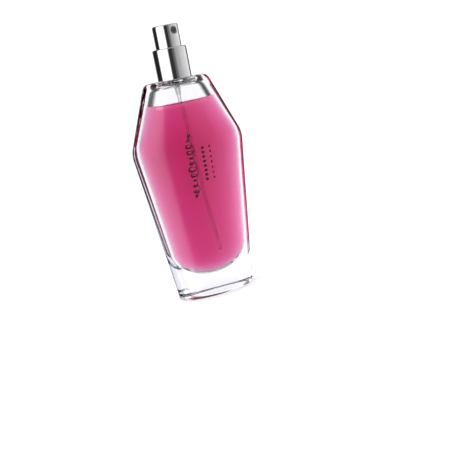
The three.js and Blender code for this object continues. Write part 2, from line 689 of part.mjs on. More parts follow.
function pumpGroup() {
  const ball = piece('inlet_ball', inletBall(), ballSteel);
  ball.position.z = BALL_CENTRE;
  const group = new THREE.Group();
  group.add(
    piece('pump_housing', pumpHousing(), naturalPlastic),
    ball,
    piece('main_spring', mainSpring(), springSteel),
    piece('valve_pin', valvePin(), whitePlastic),
    piece('piston', piston(), whitePlastic),
    piece('preload_spring', preloadSpring(), springSteel),
    piece('stem', stem(), whitePlastic),
    piece('stem_seal', stemSeal(), sealRubber),
    piece('turret', turret(), whitePlastic),
    piece('neck_gasket', neckGasket(), sealRubber),
  );
  return group;
}

function collarGroup() {
  const group = new THREE.Group();
  group.add(
    piece('crimp_ferrule', crimpFerrule(), aluminium),
    piece('collar_liner', collarLiner(), whitePlastic),
    piece('collar_sleeve', collarSleeve(), chrome),
  );
  return group;
}

function sprayHeadGroup() {
  const group = new THREE.Group();
  group.add(
    piece('actuator_core', actuatorCore(), whitePlastic),
    piece('actuator_shell', actuatorShell(), chrome),
    piece('nozzle_insert', nozzleInsert(), blackPlastic),
  );
  group.rotation.z = THREE.MathUtils.degToRad(HEAD_TURN_DEG);
  return group;
}

const perfumeBottle = new THREE.Group();
perfumeBottle.add(bottleGroup(), pumpGroup(), collarGroup(), sprayHeadGroup());

export default perfumeBottle;
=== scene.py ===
"""Looks of a perfume bottle with a crimped spray pump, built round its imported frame.

Everything is in metres in the frame's own axes: +Z up, the wide side along X, the decorated front
towards -Y. Each sub-assembly is a class that holds its sizes, works out its surfaces with numpy and
dresses them. A turned or oval surface is a grid of rings: ring i is the profile's station i and
column j is the angle round the axis.
"""

import sys
import functools
import json
import logging
import math
from dataclasses import dataclass, field
from enum import Enum

import bpy
import numpy as np
from mathutils import Matrix, Vector


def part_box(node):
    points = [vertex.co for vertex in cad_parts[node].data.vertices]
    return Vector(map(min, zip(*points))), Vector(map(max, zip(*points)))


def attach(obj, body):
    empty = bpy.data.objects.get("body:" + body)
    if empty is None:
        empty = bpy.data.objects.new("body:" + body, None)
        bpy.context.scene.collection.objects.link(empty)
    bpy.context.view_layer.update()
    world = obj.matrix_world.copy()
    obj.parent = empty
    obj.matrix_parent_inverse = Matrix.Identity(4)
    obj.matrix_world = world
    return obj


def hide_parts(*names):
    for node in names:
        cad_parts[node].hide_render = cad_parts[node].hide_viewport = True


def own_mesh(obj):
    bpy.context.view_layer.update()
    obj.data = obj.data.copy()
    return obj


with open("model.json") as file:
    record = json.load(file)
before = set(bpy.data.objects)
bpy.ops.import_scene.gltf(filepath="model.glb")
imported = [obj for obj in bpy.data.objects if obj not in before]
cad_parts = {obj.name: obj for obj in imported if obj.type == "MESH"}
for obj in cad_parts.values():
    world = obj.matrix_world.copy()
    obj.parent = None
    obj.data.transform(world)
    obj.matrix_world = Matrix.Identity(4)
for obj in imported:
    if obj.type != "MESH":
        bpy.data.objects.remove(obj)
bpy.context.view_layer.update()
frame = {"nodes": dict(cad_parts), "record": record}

MM = 0.001
FINE_SIDES = 192
SMALL_SIDES = 96
TUBE_SIDES = 40
WIRE_SIDES = 14
PEN_SIDES = 10
PUNT_ROWS = 14
BELOW_ROWS = 26
WINDOW_ROWS = 20
WINDOW_COLUMNS = 24
PATCH_ROWS = 4
LONGEST_CUT = 0.48  # share of a side that one rounding may take

log = logging.getLogger("perfume_bottle")


class Body(Enum):
    """The frame's moving bodies."""

    BOTTLE = "bottle"
    PLUNGER = "plunger"
    PISTON = "pump_piston"
    HEAD = "spray_head"
    BALL = "check_ball"


# ------------------------------------------------------------------ surfaces


def soften(points: np.ndarray, cuts: list[float], closed: bool = False, steps: int = 6) -> np.ndarray:
    """Round the corners of a polyline.

    Each corner P with cut c becomes the quadratic Bezier from the point c before P to the point c
    after it, B(t) = (1-t)^2 S + 2t(1-t) P + t^2 E. A cut of 0 leaves the corner sharp, and no cut
    takes more than LONGEST_CUT of its side.

    Args:
        points: Corners, one per row, in two or three coordinates.
        cuts: One cut for each corner.
        closed: Whether the last corner joins the first.
        steps: Straight lengths in each rounded corner.

    Returns:
        The rounded polyline, one point per row.
    """
    t = np.linspace(0.0, 1.0, steps + 1)[:, None]
    rows = []
    count = len(points)
    for i, (corner, cut) in enumerate(zip(points, cuts)):
        inner = closed or 0 < i < count - 1
        if cut <= 0 or not inner:
            rows.append(corner[None])
            continue
        ends = []
        for other in (points[i - 1], points[(i + 1) % count]):
            share = min(LONGEST_CUT, cut / np.linalg.norm(other - corner))
            ends.append(corner + (other - corner) * share)
        start, end = ends
        rows.append((1 - t) ** 2 * start + 2 * t * (1 - t) * corner + t**2 * end)
    return np.concatenate(rows)


def subdivided(profile: np.ndarray, longest: float) -> np.ndarray:
    """Split the sides of a polyline that are longer than a length.

    Args:
        profile: Points, one per row.
        longest: The longest side that is left, in metres.

    Returns:
        The same line with evenly spaced points added on its long sides.
    """
    rows = [profile[:1]]
    for start, end in zip(profile[:-1], profile[1:]):
        parts = max(1, math.ceil(np.linalg.norm(end - start) / longest))
        share = (np.arange(1, parts + 1) / parts)[:, None]
        rows.append(start + (end - start) * share)
    return np.concatenate(rows)


def oval_rings(stations: np.ndarray, sides: int = FINE_SIDES) -> np.ndarray:
    """Grid of oval rings: (a cos u, b sin u, z) for each station (a, b, z) and each angle u.

    Args:
        stations: Half-width, half-depth and height of each ring.
        sides: Columns round the axis.

    Returns:
        Points of shape (stations, sides, 3).
    """
    u = np.linspace(0.0, 2 * np.pi, sides, endpoint=False)
    a, b, z = (stations[:, k, None] for k in range(3))
    return np.stack([a * np.cos(u), b * np.sin(u), np.broadcast_to(z, (len(stations), sides))], axis=2)


def round_rings(profile: np.ndarray, sides: int = FINE_SIDES) -> np.ndarray:
    """Grid of round rings: (r cos u, r sin u, z) for each profile point (r, z).

    Args:
        profile: Radius and height of each ring.
        sides: Columns round the axis.

    Returns:
        Points of shape (profile points, sides, 3).
    """
    return oval_rings(profile[:, [0, 0, 1]], sides)


def swept_rings(path: np.ndarray, radius: float | np.ndarray, sides: int, sense: int = 1) -> np.ndarray:
    """Grid of round sections along a path.

    The section's axes at each point are N = T x Y' and B = T x N, where T is the path's tangent and
    Y' the fixed direction +Y, so that a path in the XZ plane carries its section without twist.

    Args:
        path: Points of the centre line, one per row.
        radius: Radius of the section, or one radius for each point.
        sides: Columns round the section.
        sense: 1 or -1, the way that the columns run.

    Returns:
        Points of shape (path points, sides, 3).
    """
    tangent = np.gradient(path, axis=0)
    tangent /= np.linalg.norm(tangent, axis=1, keepdims=True)
    normal = np.cross(tangent, np.array([0.0, 1.0, 0.0]))
    normal /= np.linalg.norm(normal, axis=1, keepdims=True)
    binormal = sense * np.cross(tangent, normal)
    u = np.linspace(0.0, 2 * np.pi, sides, endpoint=False)[None, :, None]
    spoke = np.cos(u) * normal[:, None] + np.sin(u) * binormal[:, None]
    return path[:, None] + np.broadcast_to(radius, len(path))[:, None, None] * spoke


def ring_faces(rows: int, sides: int, wrap: bool) -> np.ndarray:
    """Quads between neighbouring rings: (i, j), (i, j+1), (i+1, j+1), (i+1, j).

    Args:
        rows: Number of rings.
        sides: Columns in each ring.
        wrap: Whether the last ring joins the first.

    Returns:
        Vertex numbers of shape (quads, 4).
    """
    i = np.arange(rows if wrap else rows - 1)[:, None]
    j = np.arange(sides)[None, :]
    k = (i + 1) % rows
    j2 = (j + 1) % sides
    quads = np.stack([i * sides + j, i * sides + j2, k * sides + j2, k * sides + j], axis=2)
    return quads.reshape(-1, 4)


def new_piece(name: str, points: np.ndarray, faces: list, sharp_deg: float = 38.0) -> bpy.types.Object:
    """Make a mesh object with smooth faces and sharp edges past an angle.

    Args:
        name: The piece's name.
        points: Vertices, one per row.
        faces: Vertex numbers of each face.
        sharp_deg: Angle between faces past which their edge is sharp.

    Returns:
        The object, at the origin.
    """
    mesh = bpy.data.meshes.new(name)
    mesh.from_pydata(points.tolist(), [], faces)
    mesh.polygons.foreach_set("use_smooth", np.ones(len(mesh.polygons), bool))
    mesh.set_sharp_from_angle(angle=math.radians(sharp_deg))
    mesh.update()
    piece = bpy.data.objects.new(name, mesh)
    bpy.context.scene.collection.objects.link(piece)
    return piece


def shell_piece(name: str, rings: np.ndarray, sharp_deg: float = 38.0) -> bpy.types.Object:
    """Make a closed piece from rings whose last joins the first.

    Args:
        name: The piece's name.
        rings: Points of shape (rows, sides, 3).
        sharp_deg: Angle past which an edge is sharp.

    Returns:
        The object.
    """
    rows, sides, _ = rings.shape
    return new_piece(name, rings.reshape(-1, 3), ring_faces(rows, sides, True).tolist(), sharp_deg)


def solid_piece(name: str, rings: np.ndarray, sharp_deg: float = 38.0) -> bpy.types.Object:
    """Make a closed piece whose first and last rings are poles, each kept as one vertex.

    Args:
        name: The piece's name.
        rings: Points of shape (rows, sides, 3), with poles at both ends.
        sharp_deg: Angle past which an edge is sharp.

    Returns:
        The object.
    """
    middle = rings[1:-1]
    rows, sides, _ = middle.shape
    points = np.concatenate([middle.reshape(-1, 3), rings[0, :1], rings[-1, :1]])
    first, last = rows * sides, rows * sides + 1
    j = np.arange(sides)
    j2 = (j + 1) % sides
    start = np.stack([np.full(sides, first), j2, j], axis=1)
    top = (rows - 1) * sides
    end = np.stack([np.full(sides, last), top + j, top + j2], axis=1)
    faces = ring_faces(rows, sides, False).tolist() + start.tolist() + end.tolist()
    return new_piece(name, points, faces, sharp_deg)


def capped_faces(rows: int, sides: int, start: int) -> list[list[int]]:
    """List the faces of an open-ended sweep, whose end rings are closed flat.

    Args:
        rows: Number of rings.
        sides: Columns in each ring.
        start: Number of its first vertex.

    Returns:
        Vertex numbers of each face.
    """
    cap = np.arange(sides) + start
    sweep = (ring_faces(rows, sides, False) + start).tolist()
    return sweep + [cap[::-1].tolist(), (cap + (rows - 1) * sides).tolist()]


def turned_shell(name: str, corners: list[tuple[float, float]], cuts: list[float],
                 sides: int = FINE_SIDES) -> bpy.types.Object:
    """Make a ring-like turned piece from the corners of its closed section.

    Args:
        name: The piece's name.
        corners: Radius and height of each corner, going up the outside.
        cuts: Rounding of each corner.
        sides: Columns round the axis.

    Returns:
        The object.
    """
    profile = soften(np.array(corners), cuts, closed=True)
    return shell_piece(name, round_rings(profile, sides))


# ------------------------------------------------------------------ finishes


class Nodes:
    """A material's node tree with short ways to add what the finishes share."""

    def __init__(self, name: str) -> None:
        """Make a material that holds one Principled shader."""
        self.material = bpy.data.materials.new(name)
        self.material.use_nodes = True
        self.tree = self.material.node_tree
        self.shader = self.tree.nodes["Principled BSDF"]
        self.output = self.tree.nodes["Material Output"]
        self.place = self.tree.nodes.new("ShaderNodeTexCoord").outputs["Object"]

    def link(self, source: bpy.types.NodeSocket, target: bpy.types.NodeSocket) -> None:
        """Join two sockets."""
        self.tree.links.new(source, target)

    def set(self, **values: float | tuple) -> None:
        """Set the shader's own sockets, named with underscores for spaces."""
        for name, value in values.items():
            self.shader.inputs[name.replace("_", " ")].default_value = value

    def stretched(self, scale: tuple[float, float, float]) -> bpy.types.NodeSocket:
        """Return object coordinates multiplied by a scale on each axis."""
        mapping = self.tree.nodes.new("ShaderNodeMapping")
        mapping.inputs["Scale"].default_value = scale
        self.link(self.place, mapping.inputs["Vector"])
        return mapping.outputs["Vector"]

    def noise(self, scale: float, detail: float = 3.0, place: bpy.types.NodeSocket | None = None,
              roughness: float = 0.5) -> bpy.types.NodeSocket:
        """Add a noise.

        Args:
            scale: Features in a metre.
            detail: Octaves.
            place: Coordinates, or None for the object's own.
            roughness: Strength of the finer octaves.

        Returns:
            The noise's value, about 0.5 on average.
        """
        node = self.tree.nodes.new("ShaderNodeTexNoise")
        node.inputs["Scale"].default_value = scale
        node.inputs["Detail"].default_value = detail
        node.inputs["Roughness"].default_value = roughness
        self.link(place or self.place, node.inputs["Vector"])
        return node.outputs["Fac"]

    def ranged(self, value: bpy.types.NodeSocket, low: float, high: float,
               start: float = 0.35, end: float = 0.65) -> bpy.types.NodeSocket:
        """Map a value from one range to another, held at its ends.

        Args:
            value: What is mapped.
            low: Result at start.
            high: Result at end.
            start: Lower end of the value's range.
            end: Upper end of the value's range.

        Returns:
            The mapped value.
        """
        node = self.tree.nodes.new("ShaderNodeMapRange")
        node.inputs["From Min"].default_value = start
        node.inputs["From Max"].default_value = end
        node.inputs["To Min"].default_value = low
        node.inputs["To Max"].default_value = high
        self.link(value, node.inputs["Value"])
        return node.outputs["Result"]

    def mixed(self, share: bpy.types.NodeSocket, first: tuple, second: tuple) -> bpy.types.NodeSocket:
        """Return a colour between two, by a share."""
        node = self.tree.nodes.new("ShaderNodeMix")
        node.data_type = "RGBA"
        node.inputs[6].default_value = (*first, 1.0)
        node.inputs[7].default_value = (*second, 1.0)
        self.link(share, node.inputs["Factor"])
        return node.outputs[2]

    def absorb(self, colour: tuple[float, float, float], density: float) -> None:
        """Give the inside a colour that deepens with the way through it.

        Args:
            colour: What is left of light, at its deepest.
            density: How fast it deepens, in a metre.
        """
        depth = self.tree.nodes.new("ShaderNodeVolumeAbsorption")
        depth.inputs["Color"].default_value = (*colour, 1.0)
        depth.inputs["Density"].default_value = density
        self.link(depth.outputs["Volume"], self.output.inputs["Volume"])

    def bump(self, height: bpy.types.NodeSocket, distance: float) -> None:
        """Raise the surface by a height map.

        Args:
            height: The map.
            distance: Height of a step of 1, in metres.
        """
        node = self.tree.nodes.new("ShaderNodeBump")
        node.inputs["Distance"].default_value = distance
        self.link(height, node.inputs["Height"])
        self.link(node.outputs["Normal"], self.shader.inputs["Normal"])


@dataclass(frozen=True)
class ClearGlass:
    """Flint glass with the faint waviness of a pressed and blown wall.

    Where the piece's "wetted" attribute is 1, liquid lies against it and leaves wet_shine of its shine.
    """

    name: str = "clear_flint_glass"
    tint: tuple[float, float, float] = (0.985, 0.985, 0.99)
    index: float = 1.52
    wave: float = 0.00002
    depth_colour: tuple[float, float, float] = (0.68, 0.68, 0.80)
    depth_density: float = 16.0
    wet_shine: float = 0.08

    def material(self) -> bpy.types.Material:
        """Return the finish as a material."""
        nodes = Nodes(self.name)
        nodes.set(IOR=self.index, Transmission_Weight=1.0)
        wetted = nodes.tree.nodes.new("ShaderNodeAttribute")
        wetted.attribute_name = "wetted"
        shine = nodes.mixed(wetted.outputs["Fac"], (1.0, 1.0, 1.0), (self.wet_shine,) * 3)
        nodes.link(shine, nodes.shader.inputs["Specular Tint"])
        streaks = nodes.noise(70.0, 2.0, nodes.stretched((1.0, 1.0, 0.35)))
        colour = nodes.mixed(nodes.ranged(streaks, 0.0, 1.0), self.tint, (1.0, 1.0, 1.0))
        nodes.link(colour, nodes.shader.inputs["Base Color"])
        handled = nodes.noise(260.0, 4.0)
        nodes.link(nodes.ranged(handled, 0.0, 0.018, 0.5, 0.75), nodes.shader.inputs["Roughness"])
        nodes.bump(streaks, self.wave)
        nodes.absorb(self.depth_colour, self.depth_density)
        return nodes.material


@dataclass(frozen=True)
class DyedLiquid:
    """Clear liquid that takes its colour from its depth, and shines less than in air as it wets its walls."""

    name: str = "pink_fragrance"
    index: float = 1.36
    colour: tuple[float, float, float] = (0.815, 0.03, 0.46)
    density: float = 155.0
    shine: float = 0.12
    swirl: float = 0.000004

    def material(self) -> bpy.types.Material:
        """Return the finish as a material."""
        nodes = Nodes(self.name)
        nodes.set(Base_Color=(1.0, 1.0, 1.0, 1.0), IOR=self.index, Transmission_Weight=1.0, Roughness=0.0,
                  Specular_Tint=(self.shine,) * 3 + (1.0,))
        nodes.bump(nodes.noise(45.0, 2.0), self.swirl)
        nodes.absorb(self.colour, self.density)
        return nodes.material


@dataclass(frozen=True)
class PolishedMetal:
    """Bright metal with fine polishing lines round it and faint fingerprints."""

    name: str = "bright_collar_metal"
    colour: tuple[float, float, float] = (0.86, 0.865, 0.875)
    polish: float = 0.045
    smudged: float = 0.13

    def material(self) -> bpy.types.Material:
        """Return the finish as a material."""
        nodes = Nodes(self.name)
        nodes.set(Metallic=1.0)
        smudge = nodes.noise(320.0, 5.0, roughness=0.6)
        nodes.link(nodes.ranged(smudge, self.polish, self.smudged, 0.45, 0.8),
                   nodes.shader.inputs["Roughness"])
        shade = tuple(0.93 * c for c in self.colour)
        nodes.link(nodes.mixed(nodes.ranged(smudge, 0.0, 1.0), self.colour, shade),
                   nodes.shader.inputs["Base Color"])
        lines = nodes.noise(900.0, 2.0, nodes.stretched((0.15, 0.15, 6.0)))
        nodes.bump(lines, 0.0000012)
        return nodes.material


@dataclass(frozen=True)
class SatinMetal:
    """Drawn or wound metal with a soft shine and drawing lines."""

    name: str
    colour: tuple[float, float, float]
    roughness: float = 0.32

    def material(self) -> bpy.types.Material:
        """Return the finish as a material."""
        nodes = Nodes(self.name)
        nodes.set(Metallic=1.0)
        grain = nodes.noise(1500.0, 3.0, nodes.stretched((1.0, 1.0, 0.12)))
        nodes.link(nodes.ranged(grain, self.roughness - 0.08, self.roughness + 0.1),
                   nodes.shader.inputs["Roughness"])
        shade = tuple(0.85 * c for c in self.colour)
        nodes.link(nodes.mixed(nodes.ranged(grain, 0.0, 1.0), self.colour, shade),
                   nodes.shader.inputs["Base Color"])
        nodes.bump(grain, 0.000004)
        return nodes.material


@dataclass(frozen=True)
class MouldedPlastic:
    """Moulded plastic with a fine eroded texture, opaque or letting some light through.

    Its rim is the weight of a soft pale shine where the surface is seen edge-on.
    """

    name: str
    colour: tuple[float, float, float]
    roughness: float = 0.35
    clear: float = 0.0
    index: float = 1.49
    rim: float = 0.0
    rim_roughness: float = 0.25

    def material(self) -> bpy.types.Material:
        """Return the finish as a material."""
        nodes = Nodes(self.name)
        nodes.set(IOR=self.index, Transmission_Weight=self.clear, Sheen_Weight=self.rim,
                  Sheen_Roughness=self.rim_roughness)
        grain = nodes.noise(2200.0, 4.0)
        cloud = nodes.noise(180.0, 2.0)
        shade = tuple(0.9 * c for c in self.colour)
        nodes.link(nodes.mixed(nodes.ranged(cloud, 0.0, 1.0), self.colour, shade),
                   nodes.shader.inputs["Base Color"])
        nodes.link(nodes.ranged(grain, self.roughness - 0.05, self.roughness + 0.07),
                   nodes.shader.inputs["Roughness"])
        nodes.bump(grain, 0.000005)
        return nodes.material


@dataclass(frozen=True)
class SealRubber:
    """Matt rubber with a dusting of mould release."""

    name: str = "seal_rubber"
    colour: tuple[float, float, float] = (0.035, 0.035, 0.038)

    def material(self) -> bpy.types.Material:
        """Return the finish as a material."""
        nodes = Nodes(self.name)
        dust = nodes.noise(1400.0, 5.0, roughness=0.7)
        nodes.link(nodes.mixed(nodes.ranged(dust, 0.0, 1.0, 0.5, 0.8), self.colour, (0.12, 0.12, 0.12)),
                   nodes.shader.inputs["Base Color"])
        nodes.link(nodes.ranged(dust, 0.65, 0.9), nodes.shader.inputs["Roughness"])
        nodes.bump(dust, 0.00001)
        return nodes.material


@dataclass(frozen=True)
class ScreenInk:
    """Screen-printed ink, dense with a slightly pebbled film."""

    name: str = "front_print_ink"
    colour: tuple[float, float, float] = (0.012, 0.008, 0.012)

    def material(self) -> bpy.types.Material:
        """Return the finish as a material."""
        nodes = Nodes(self.name)
        film = nodes.noise(3500.0, 4.0)
        nodes.link(nodes.mixed(nodes.ranged(film, 0.0, 1.0, 0.55, 0.8), self.colour, (0.05, 0.03, 0.045)),
                   nodes.shader.inputs["Base Color"])
        nodes.link(nodes.ranged(film, 0.3, 0.5), nodes.shader.inputs["Roughness"])
        nodes.bump(film, 0.000004)
        return nodes.material


Finish = ClearGlass | DyedLiquid | PolishedMetal | SatinMetal | MouldedPlastic | SealRubber | ScreenInk


@functools.cache
def material_of(finish: Finish) -> bpy.types.Material:
    """Return a finish's material, made once for all that share it."""
    return finish.material()


# ------------------------------------------------------------------ sub-assemblies


@dataclass
class GlassBody:
    """The oval glass bottle: corners of its outside, its cavity and its neck."""

    base: tuple[float, float, float] = (20.6 * MM, 13.0 * MM, 0.0)
    ridge: tuple[float, float, float] = (29.6 * MM, 17.3 * MM, 79.4 * MM)
    deck: tuple[float, float, float] = (16.4 * MM, 11.8 * MM, 111.7 * MM)
    ridge_cut: float = 3.6 * MM
    deck_cut: float = 3.2 * MM
    base_cut: float = 1.2 * MM
    stand_ring: float = 2.6 * MM
    punt: float = 1.3 * MM
    side_wall: float = 5.6 * MM
    face_wall: float = 3.5 * MM
    floor: float = 11.0 * MM
    bowl_height: float = 14.0 * MM
    ceiling: float = 2.6 * MM
    neck_height: float = 6.6 * MM
    neck_radius: float = 6.4 * MM
    bore: float = 4.7 * MM
    bead_radius: float = 7.4 * MM
    bead_height: float = 3.8 * MM
    bead_slope: float = 0.6 * MM
    mouth_step: float = 0.5 * MM

    def side(self, height: float) -> np.ndarray:
        """Return the straight side's half-width, half-depth and height at a height."""
        base, ridge, deck = (np.array(c) for c in (self.base, self.ridge, self.deck))
        if height < ridge[2]:
            return base + (ridge - base) * height / ridge[2]
        return ridge + (deck - ridge) * (height - ridge[2]) / (deck[2] - ridge[2])

    def inside(self, height: float, grown: float = 0.0) -> np.ndarray:
        """Return the cavity's half-width, half-depth and height at a height, grown into the wall."""
        return self.side(height) - np.array([self.side_wall - grown, self.face_wall - grown, 0.0])

    def bowl(self, grown: float = 0.0, steps: int = 26) -> np.ndarray:
        """Work out the cavity's rounded bottom.

        A quarter of an ellipse from the lowest point to the wall: the rim's half-axes times sin v,
        at the rim's height less the bowl's height times cos v.

        Args:
            grown: How far the surface lies into the wall.
            steps: Straight lengths along the curve.

        Returns:
            Stations from the pole upwards.
        """
        rim = self.inside(self.floor + self.bowl_height, grown)
        v = np.linspace(0.0, np.pi / 2, steps + 1)
        drop = (self.bowl_height + grown) * np.cos(v)
        return np.stack([rim[0] * np.sin(v), rim[1] * np.sin(v), rim[2] - drop], axis=1)

    def outside(self) -> np.ndarray:
        """Return stations from the middle of the underside to the deck's flat top."""
        base, ridge, deck = (np.array(c) for c in (self.base, self.ridge, self.deck))
        ring_outer = base - np.array([self.base_cut, self.base_cut, 0.0])
        ring_inner = ring_outer - np.array([self.stand_ring, self.stand_ring, 0.0])
        share = np.linspace(0.0, 1.0, PUNT_ROWS, endpoint=False)
        punt = np.stack([ring_inner[0] * share, ring_inner[1] * share, self.punt * (1 - share**2)], axis=1)
        root = np.array([self.neck_radius, self.neck_radius, deck[2]])
        corners = np.stack([ring_inner, base, ridge, deck, root])
        cuts = [0.0, self.base_cut, self.ridge_cut, self.deck_cut, 0.0]
        return np.concatenate([punt, soften(corners, cuts, steps=12)[:-1]])

    def neck(self) -> np.ndarray:
        """Return stations up the neck, over its bead and down its bore to the cavity's ceiling."""
        top = self.deck[2] + self.neck_height
        under_bead = top - self.bead_height
        ceiling = self.deck[2] - self.ceiling
        corners = np.array([
            (self.neck_radius, self.deck[2]), (self.neck_radius, under_bead),
            (self.bead_radius, under_bead + self.bead_slope), (self.bead_radius, top), (self.bore, top),
            (self.bore, ceiling), (self.bore + self.mouth_step, ceiling),
        ])
        cuts = [c * MM for c in (0.0, 0.4, 0.4, 0.5, 0.5, 0.45, 0.0)]
        root = soften(np.array([(self.neck_radius + MM, self.deck[2]), corners[0], corners[1]]),
                      [0.0, 0.7 * MM, 0.0])[1:-1]
        profile = np.concatenate([root, soften(corners, cuts)[1:]])
        return profile[:, [0, 0, 1]]

    def cavity(self) -> np.ndarray:
        """Return stations from the ceiling's middle down the walls to the cavity's lowest point."""
        ceiling = self.deck[2] - self.ceiling
        start = np.array([self.bore + self.mouth_step, self.bore + self.mouth_step, ceiling])
        corners = np.stack([start, self.inside(ceiling), self.inside(self.ridge[2]),
                            self.inside(self.floor + self.bowl_height)])
        walls = soften(corners, [0.0, self.deck_cut, self.ridge_cut, 0.0], steps=12)
        return np.concatenate([walls[1:-1], self.bowl()[::-1]])

    def skin_depth(self, x: np.ndarray, z: np.ndarray) -> np.ndarray:
        """Work out where the front of the glass lies.

        At height z the section has half-axes a and b, so the front is at y = -b sqrt(1 - (x/a)^2).

        Args:
            x: Places across the front.
            z: Heights.

        Returns:
            The y of the front at each place.
        """
        outline = self.outside()[PUNT_ROWS:]
        order = np.argsort(outline[:, 2], kind="stable")
        a = np.interp(z, outline[order, 2], outline[order, 0])
        b = np.interp(z, outline[order, 2], outline[order, 1])
        return -b * np.sqrt(np.clip(1 - (x / a) ** 2, 0.0, 1.0))

    def build(self, finish: ClearGlass, level: float) -> bpy.types.Object:
        """Make the bottle.

        A row of faces is wet where it comes after the lip, on the way down the bore and the cavity,
        and lies below the liquid's level. The liquid hides most of its shine.

        Args:
            finish: The glass.
            level: Height of the liquid.

        Returns:
            The piece, riding on the bottle's body.
        """
        stations = subdivided(np.concatenate([self.outside(), self.neck(), self.cavity()]), 3.0 * MM)
        piece = solid_piece("bottle_glass", oval_rings(stations), 60.0)
        height = stations[:, 2]
        wetted = (np.arange(len(height)) > height.argmax()) & (height < level)
        rows = np.repeat(wetted[1:-2], FINE_SIDES)
        fans = np.repeat([False, True], FINE_SIDES)
        layer = piece.data.attributes.new("wetted", "FLOAT", "FACE")
        layer.data.foreach_set("value", np.concatenate([rows, fans]).astype(np.float32))
        return finished(piece, material_of(finish), Body.BOTTLE, "clear_glass", "glass_bottle")


def finished(piece: bpy.types.Object, material: bpy.types.Material, body: Body, slot: str | None,
             *nodes: str) -> bpy.types.Object:
    """Dress a piece, let it ride and hide the frame nodes that it replaces.

    Args:
        piece: The piece.
        material: Its material.
        body: The body that it rides on.
        slot: The record's slot for its finish, or None for ink; not used.
        nodes: Frame nodes that it replaces.

    Returns:
        The same piece.
    """
    piece.data.materials.clear()
    piece.data.materials.append(material)
    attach(piece, body.value)
    if nodes:
        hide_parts(*nodes)
    log.info("%s: %d faces, on %s", piece.name, len(piece.data.polygons), body.value)
    return piece


@dataclass
class DipTube:
    """The tube that leaves the pump upright and bows towards +X."""

    radius: float = 0.95 * MM
    bore: float = 0.55 * MM
    tail_end: float = 103.71 * MM
    top: float = 108.0 * MM
    end: float = 22.0 * MM
    bow: float = 4.9 * MM
    power: float = 1.7

    def path(self, top: float, count: int = 110) -> np.ndarray:
        """Work out the centre line, x = bow * s^power, where s runs from 0 at the tail to 1 at the end.

        Args:
            top: Height at which the line starts.
            count: Points on the line.

        Returns:
            The points, from the top down.
        """
        z = np.linspace(top, self.end, count)
        s = np.clip((self.tail_end - z) / (self.tail_end - self.end), 0.0, None)
        return np.stack([self.bow * s**self.power, np.zeros(count), z], axis=1)

    def build(self, finish: MouldedPlastic) -> bpy.types.Object:
        """Make the tube.

        Args:
            finish: The tube's plastic.

        Returns:
            The piece, riding on the bottle's body.
        """
        path = self.path(self.top)
        outer = swept_rings(path, self.radius, TUBE_SIDES)
        inner = swept_rings(path, self.bore, TUBE_SIDES)[::-1]
        piece = shell_piece("tube", np.concatenate([outer, inner]), 50.0)
        return finished(piece, material_of(finish), Body.BOTTLE, "natural_plastic", "dip_tube")


@dataclass
class Fragrance:
    """The liquid, which wets the glass and the tube and stands in the tube's bore."""

    glass: GlassBody
    tube: DipTube
    level: float = 99.3 * MM
    overlap: float = 0.04 * MM
    climb: float = 1.1 * MM
    reach: float = 1.5 * MM

    def outside(self) -> np.ndarray:
        """Work out the liquid's rings from its lowest point to the tube.

        The wall follows the cavity, grown into the glass by the overlap. The surface falls from the
        wall as climb times exp(-d / reach), where d is the distance from the wall, and goes from the
        wall's oval to the tube's circle in equal shares.

        Returns:
            Points of shape (rows, FINE_SIDES, 3).
        """
        top = self.glass.inside(self.level + self.climb, self.overlap)
        corners = np.stack([self.glass.inside(self.glass.floor + self.glass.bowl_height, self.overlap),
                            self.glass.inside(self.glass.ridge[2], self.overlap), top])
        wall = soften(corners, [0.0, self.glass.ridge_cut, 0.0], steps=12)[1:]
        edge = oval_rings(top[None])
        tube = swept_rings(self.tube.path(self.level), self.tube.radius - self.overlap, FINE_SIDES, -1)[:1]
        share = np.linspace(0.0, 1.0, 26)[1:-1, None, None] ** 1.8
        surface = edge + (tube - edge) * share
        depth = share[..., 0] * (top[1] - self.tube.radius)
        near_tube = np.exp((depth - depth[-1]) / (0.4 * self.reach))
        surface[..., 2] = self.level + self.climb * (np.exp(-depth / self.reach) + 0.4 * near_tube)
        below = oval_rings(subdivided(np.concatenate([self.glass.bowl(self.overlap), wall]), 4.0 * MM))
        return np.concatenate([below, surface])

    def round_tube(self) -> np.ndarray:
        """Work out the rings down the tube's outside, across its end and up its bore to the level.

        Returns:
            Points of shape (rows, FINE_SIDES, 3).
        """
        path = self.tube.path(self.level, 60)
        down = swept_rings(path, self.tube.radius - self.overlap, FINE_SIDES, -1)
        up = swept_rings(path, self.tube.bore + self.overlap, FINE_SIDES, -1)[::-1]
        down[-1, :, 2] += self.overlap
        up[0, :, 2] += self.overlap
        pole = np.broadcast_to(path[0], (1, FINE_SIDES, 3))
        return np.concatenate([down, up, pole])

    def build(self, finish: DyedLiquid) -> bpy.types.Object:
        """Make the liquid.

        Args:
            finish: The liquid's look.

        Returns:
            The piece, riding on the bottle's body.
        """
        piece = solid_piece("pink_liquid", np.concatenate([self.outside(), self.round_tube()]), 50.0)
        return finished(piece, material_of(finish), Body.BOTTLE, "pink_liquid", "fragrance_liquid")


